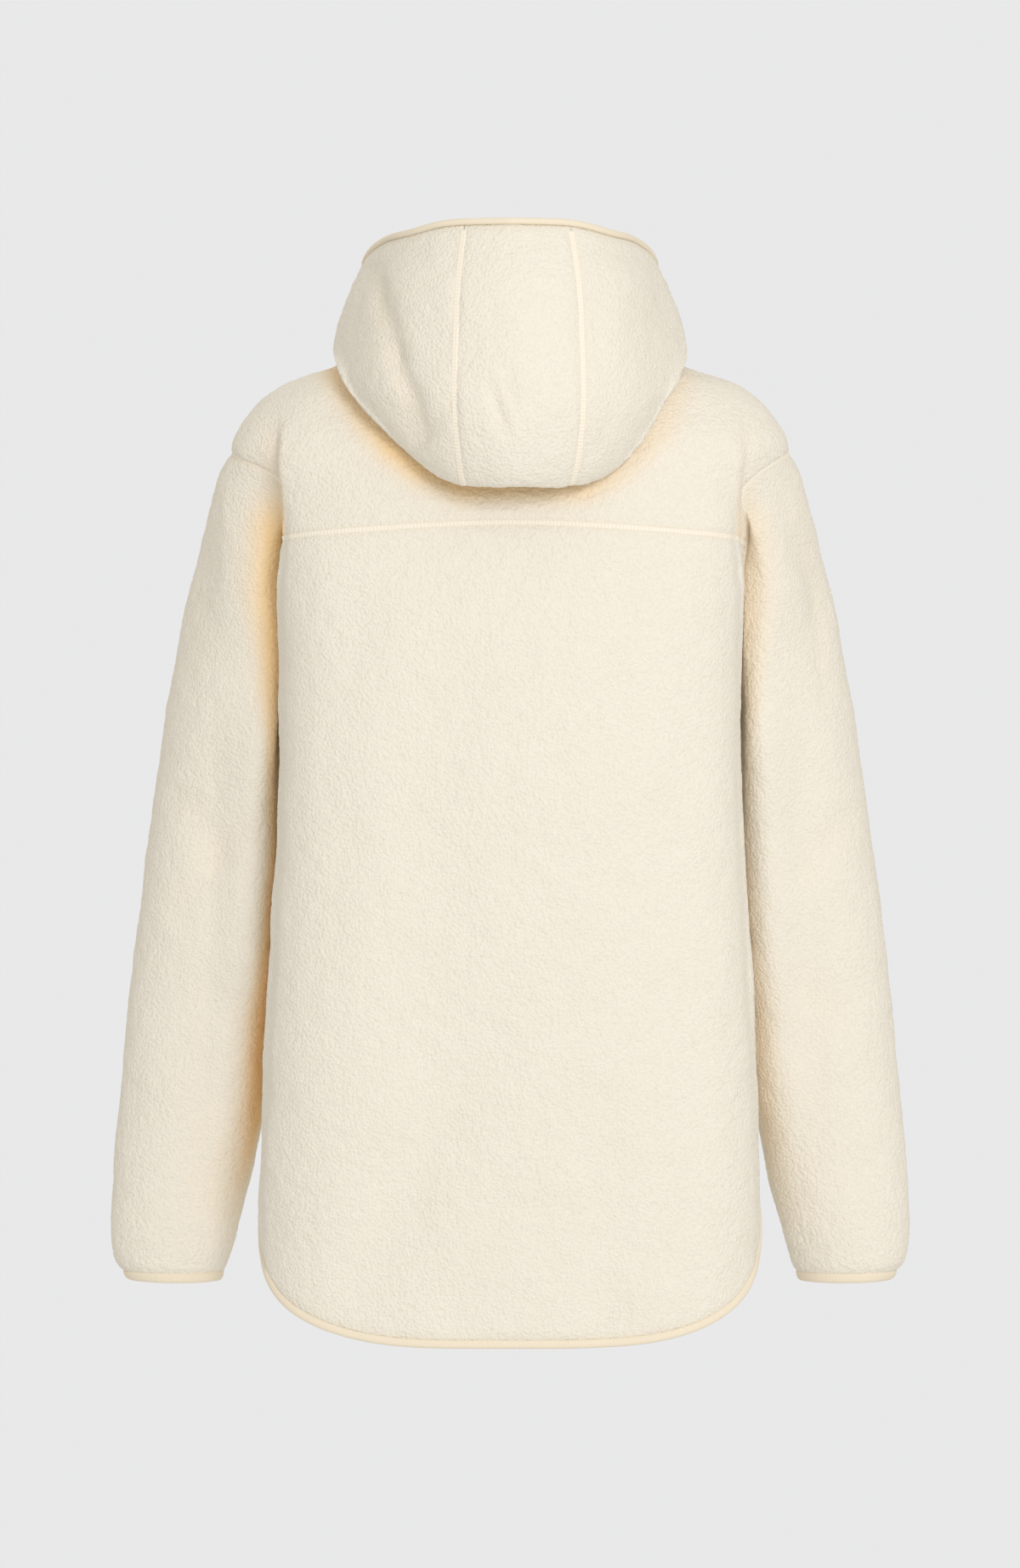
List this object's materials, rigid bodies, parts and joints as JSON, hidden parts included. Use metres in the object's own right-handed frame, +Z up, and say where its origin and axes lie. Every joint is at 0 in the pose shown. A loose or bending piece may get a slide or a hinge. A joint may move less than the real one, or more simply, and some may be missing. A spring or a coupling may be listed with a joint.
{
  "type": "hooded fleece jacket",
  "caption": "Long high-pile fleece jacket with a curved hem, bound edges, a front zip and a three-panel hood worn down, filled out as if worn.",
  "frame": {"origin": "between the shoulders, at the height where a wearer's shoulders carry the jacket", "axes": "+Z up; the front of the jacket faces -Y; the wearer's left is +X"},
  "size_m": [0.633, 0.3195, 0.858],
  "materials": {
    "fleece": "high pile with fine curls, matte cream",
    "binding": "smooth elastic knit, matte, a little yellower cream",
    "zip_tape": "woven tape, matte cream",
    "zip_teeth": "moulded plastic, satin cream",
    "zip_metal": "satin cream paint"
  },
  "bodies": {
    "garment": {"back_panel": "fleece", "back_yoke": "fleece", "front_left": "fleece", "front_right": "fleece", "sleeve_left": "fleece", "sleeve_right": "fleece", "hood_left": "fleece", "hood_centre": "fleece", "hood_right": "fleece", "binding_hood": "binding", "binding_hem": "binding", "binding_cuff_left": "binding", "binding_cuff_right": "binding", "zip_tape_left": "zip_tape", "zip_tape_right": "zip_tape", "zip_chain": "zip_teeth", "zip_slider": "zip_metal"},
    "pull_tab": {"zip_pull": "zip_metal"}
  },
  "joints": [
    {"name": "pull_tab_hinge", "type": "hinge", "parent": "garment", "child": "pull_tab", "pos_m": [0, -0.10861, 0.02009], "axis": [-1, 0, 0], "range_deg": [0, 150]}
  ]
}
